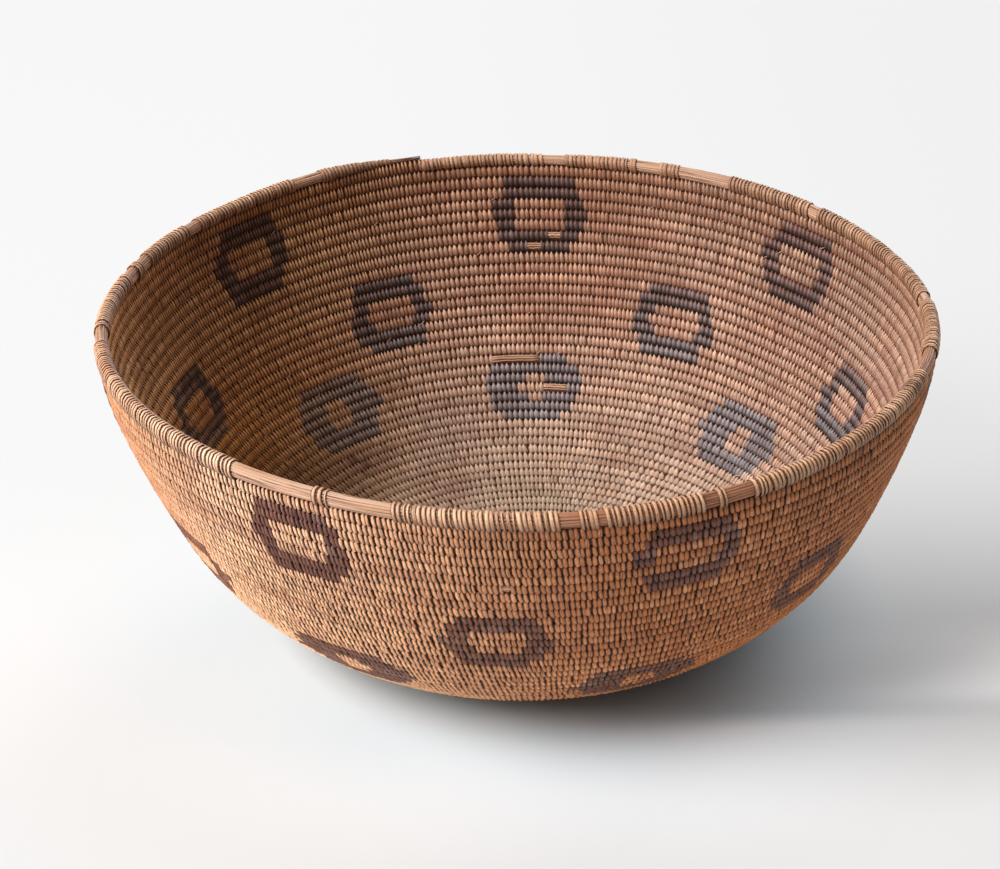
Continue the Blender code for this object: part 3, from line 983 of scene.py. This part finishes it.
def makeRimStems():
    # Each stem is a small tube that wanders a little, and an oval filling lies within them
    turns = np.linspace(lastTurn - 1, lastTurn, rimStems["steps"])
    width, height, arc = rimSize(turns)
    middle, up, out, _ = wallAxes(arc, turnAngle(turns))
    count = rimStems["stems"]
    places = circle(count)[:, None]
    bends = random.integers(2, 6, (count, 1))
    wander = rimStems["wander"] * np.sin(turns * 2 * math.pi * bends + random.random((count, 1)) * 6)
    bearing = places + wander + rimStems["twist"] * (turns - lastTurn)
    ended = lastTurn - turns - random.random((count, 1)) * rimStems["ragged"] / 360
    thin = np.clip(np.minimum(width, height) / rim["height"], 0.3, 1) * np.clip(ended * 300, 0.5, 1)
    swell = 1 + rimStems["swell"] * np.sin(turns * 2 * math.pi * 7 + places * 5)
    radius = rimStems["radius"] * thin * swell
    stemUp, stemOut = (height / 2 - radius) * np.cos(bearing), (width / 2 - radius) * np.sin(bearing)
    points = tubes(middle[None], up[None], out[None], stemUp, stemOut, radius, rimStems["sides"])
    dark = rimStems["dark"] * smooth((turns - lastTurn) * 360 / rimStems["darkReach"] + 1.2)
    makeTubes("rimStems", points, bareFinish, ["rim_bundle"], dark[:, None])
    bearing = circle(rimStems["fillingSides"])
    inset = rimStems["radius"] * 1.05
    fillUp = (height / 2 - inset)[:, None] * np.cos(bearing)
    fillOut = (width / 2 - inset)[:, None] * np.sin(bearing)
    points = middle[:, None] + up[:, None] * fillUp[..., None] + out[:, None] * fillOut[..., None]
    size = points.shape[:2]
    makePiece("rimFilling", points, tubeFaces(1, *size), bareFinish, ["rim_bundle"], {
        "strand": triples(size, np.arange(size[1]), lengthAlong(middle)[:, None], 0.2),
        "place": triples(size, 1, 1, 0.5)})


makeRimStems()
print("rim stems made")

rimWraps = {  # splints round the rim
    "pitch": 0.00222,
    "radius": 0.2,  # of the rim, for the length of each stretch
    "fill": 0.90,
    "loose": 0.0002,  # least room beneath a splint, and as much again at random
    "narrow": (0.18, 0.6),  # share of the splints that are narrow, and their width
    "crown": 0.00018,
    "back": 0.0006,
    "slant": 0.15, "shift": 0.10, "width": 0.10, "lean": 0.12, "tone": 0.2,  # how much single wraps differ
    "tipDark": (0.6, 30.0),  # how far the tip is weathered, and over how many degrees
    "spotDark": (0.5, 227.0, 1.8),  # one dark place: how far, and its place and size in degrees past the tip
    # from the inner hole over the top to the outer hole: up and out as shares of the bundle's half sizes,
    # forward along the rim in wraps, width as a share, and how much painted shade it takes, on its lower
    # parts and at the holes
    "path": (
        (-1.42, -0.30, -0.50, 0.55, 1.0), (-0.98, -0.70, -0.38, 0.86, 0.9), (-0.55, -1.02, -0.26, 1.0, 0.7),
        (0.05, -1.12, -0.14, 1.0, 0.5), (0.62, -0.93, -0.05, 1.0, 0.22), (1.02, -0.42, 0.0, 0.92, 0.03),
        (1.02, 0.42, 0.07, 0.92, 0.0), (0.62, 0.93, 0.18, 0.96, 0.18), (0.05, 1.12, 0.34, 1.0, 0.42),
        (-0.55, 1.02, 0.52, 1.0, 0.65), (-0.98, 0.72, 0.66, 0.9, 0.85), (-1.42, 0.32, 0.76, 0.6, 1.0)),
}


def makeWraps():
    # Each wrapped stretch: the path of a wrap, fitted round the bundle once for each pitch
    rise, outward, trail, share, depth = np.array(rimWraps["path"]).T
    few, thinner = rimWraps["narrow"]
    tipDark, tipReach = rimWraps["tipDark"]
    spotDark, spot, spotSize = rimWraps["spotDark"]
    for number, (tipSide, startSide) in enumerate(rim["wrapped"], 1):
        span = math.radians(startSide - tipSide) * rimWraps["radius"]
        count = max(int(round(span / rimWraps["pitch"])), 1)
        room = span / count
        past = startSide + (tipSide - startSide) * ((np.arange(count) + 0.5) / count)
        turns = lastTurn - past / 360
        width, height, arc = rimSize(turns)
        middle, up, out, along = wallAxes(arc, turnAngle(turns))
        loose = rimWraps["loose"] * (1 + random.random((count, 1)))
        slant = trail * random.normal(1, rimWraps["slant"], (count, 1))
        slant = slant + random.normal(0, rimWraps["shift"], (count, 1))
        path = np.stack([(height[:, None] / 2 + loose) * rise, (width[:, None] / 2 + loose) * outward,
                         slant * room], axis=-1)
        narrow = np.where(random.random(count) < few, thinner, 1) * random.normal(1, rimWraps["width"], count)
        widths = room * rimWraps["fill"] * narrow[:, None] * share
        points = bandPoints(middle, up, out, along, path, widths, rimWraps["crown"], rimWraps["back"],
                            random.normal(0, rimWraps["lean"], (count, 1)))
        weathered = np.maximum(tipDark * smooth(1 - past / tipReach),
                               spotDark * np.exp(-((past - spot) / spotSize) ** 2))
        tone = np.clip(0.5 + random.normal(0, rimWraps["tone"], count), 0, 1)
        dye = np.stack([tone, splintRuns(count, 4, 12) ** 2 * 0.8, weathered], axis=-1)
        makeBands(f"rimWrap{number:02d}", points, rimFinish, [f"rim_wrap_{number:02d}"],
                  np.ones(count), random.random(count), dye, outward > 0, depth, (1, 0, 2, 0))


makeWraps()
print("rim wraps made")

studio = {  # lamps: bearing and height in degrees, distance and size in metres, and power in watts
    "lamps": {
        "key": {"bearing": 207, "height": 40, "distance": 4.0, "size": 2.4, "power": 222},
        "back": {"bearing": 60, "height": 22, "distance": 4.0, "size": 2.4, "power": 86},
    },
    "aim": (0, 0, 0.05),
    "sky": 0.2,
    "floor": 6.0,  # half its side, and how far it lies below the basket
    "gap": 0.0002,
}


def floorFinish():
    # White paper with painted light and shade: it greys towards the front right; beside the basket it is
    # tinted cooler against the basket's warm light and darker on its right, a painted shadow; it is painted
    # darker round the basket's foot and brighter in a strip on its right; towards the back it turns, for the
    # camera, into an even white, which nearer the basket also lifts its shadow as painted light
    finish = Finish("paleFloorPaintedLightAndShade", Roughness=0.9, Specular_IOR_Level=0.1)
    x, y = finish.across(0), finish.across(1)
    away = (x * x + y * y) ** 0.5
    # Painted shadow: beside the basket the paper takes a tint, cooler against the basket's warm light and
    # darker on its right; in front it stays near white
    near = away.ramp(0.12, 0.27, 1, 0) * x.ramp(-0.16, 0.06, 0.6, 1)
    side = finish.mix(x.ramp(-0.05, 0.10), (0.66, 0.80, 0.88, 1), (0.50, 0.62, 0.70, 1))
    # Painted shade: the paper greys towards the front right
    paper = finish.mix((x - y * 0.9).ramp(0.05, 0.45), (0.80, 0.80, 0.80, 1), (0.74, 0.74, 0.74, 1))
    # Painted light in a brighter strip on the right, across the basket's shadow, and painted shadow round the
    # basket's foot
    strip = y.ramp(-0.12, -0.095) * y.ramp(-0.06, -0.02, 1, 0) * x.ramp(0.03, 0.08) * x.ramp(0.29, 0.42, 1, 0)
    paper = finish.scaled(paper, (1 + strip * 0.45) * (1 - away.ramp(0.100, 0.120, 1, 0) * 0.8))
    right = x.ramp(0.0, 0.10)
    front = y.ramp(-0.13, -0.11, 1, 0) * right + y.ramp(-0.22, -0.09, 1, 0) * (1 - right)
    tint = finish.mix(front, side, (0.92, 1.0, 1.04, 1))
    finish.plug(finish.mix(near, paper, tint), finish.shader.inputs["Base Color"])
    # For camera and glossy rays the paper turns, away from the basket and towards the back, into a glowing
    # white, greyer on the right: an even backdrop far off, and painted light nearer, where it lifts the
    # basket's shadow
    white = finish.mix(x.ramp(-0.2, 0.4), (0.935, 0.935, 0.935, 1), (0.88, 0.88, 0.88, 1))
    glow = finish.node("ShaderNodeEmission", values={0: white})
    seen = finish.node("ShaderNodeLightPath", output="Is Camera Ray")
    seen = seen + finish.node("ShaderNodeLightPath", output="Is Glossy Ray")
    share = y.ramp(-0.16, 0.19, 0, 0.8) * away.ramp(0.10, 0.19) * seen
    paper = Value(finish, finish.shader.outputs[0])
    mixed = finish.node("ShaderNodeMixShader", values={0: share, 1: paper, 2: glow})
    finish.plug(mixed, finish.tree.nodes["Material Output"].inputs["Surface"])
    return finish.material


def makeStudio():
    # Square lamps aimed at the basket, an even white sky, and the floor
    for name, lamp in studio["lamps"].items():
        light = bpy.data.lights.new(name + "Light", "AREA")
        light.size, light.energy = lamp["size"], lamp["power"]
        bearing, height = math.radians(lamp["bearing"]), math.radians(lamp["height"])
        level = math.cos(height)
        back = np.array([math.cos(bearing) * level, math.sin(bearing) * level, math.sin(height)])
        right = unit(np.cross([0.0, 0.0, 1.0], back))
        place = np.array(studio["aim"]) + back * lamp["distance"]
        aimed(name + "Light", light, right, np.cross(back, right), back, place)
    world = bpy.data.worlds.new("studioWorld")
    world.use_nodes = True
    sky = world.node_tree.nodes["Background"].inputs
    sky["Color"].default_value = (1, 1, 1, 1)
    sky["Strength"].default_value = studio["sky"]
    bpy.context.scene.world = world
    mesh = bpy.data.meshes.new("floor")
    half, low = studio["floor"], -studio["gap"]
    mesh.from_pydata([(-half, -half, low), (half, -half, low), (half, half, low), (-half, half, low)],
                     [], [(0, 1, 2, 3)])
    mesh.materials.append(floorFinish())
    floor = linked("floor", mesh)
    bpy.context.scene.view_settings.view_transform = "Standard"


makeStudio()
print("studio made")

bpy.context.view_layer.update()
shown = [piece.data for piece in bpy.data.objects if piece.type == "MESH" and not piece.hide_render]
print("triangles:", sum(len(mesh.loop_triangles) for mesh in shown))
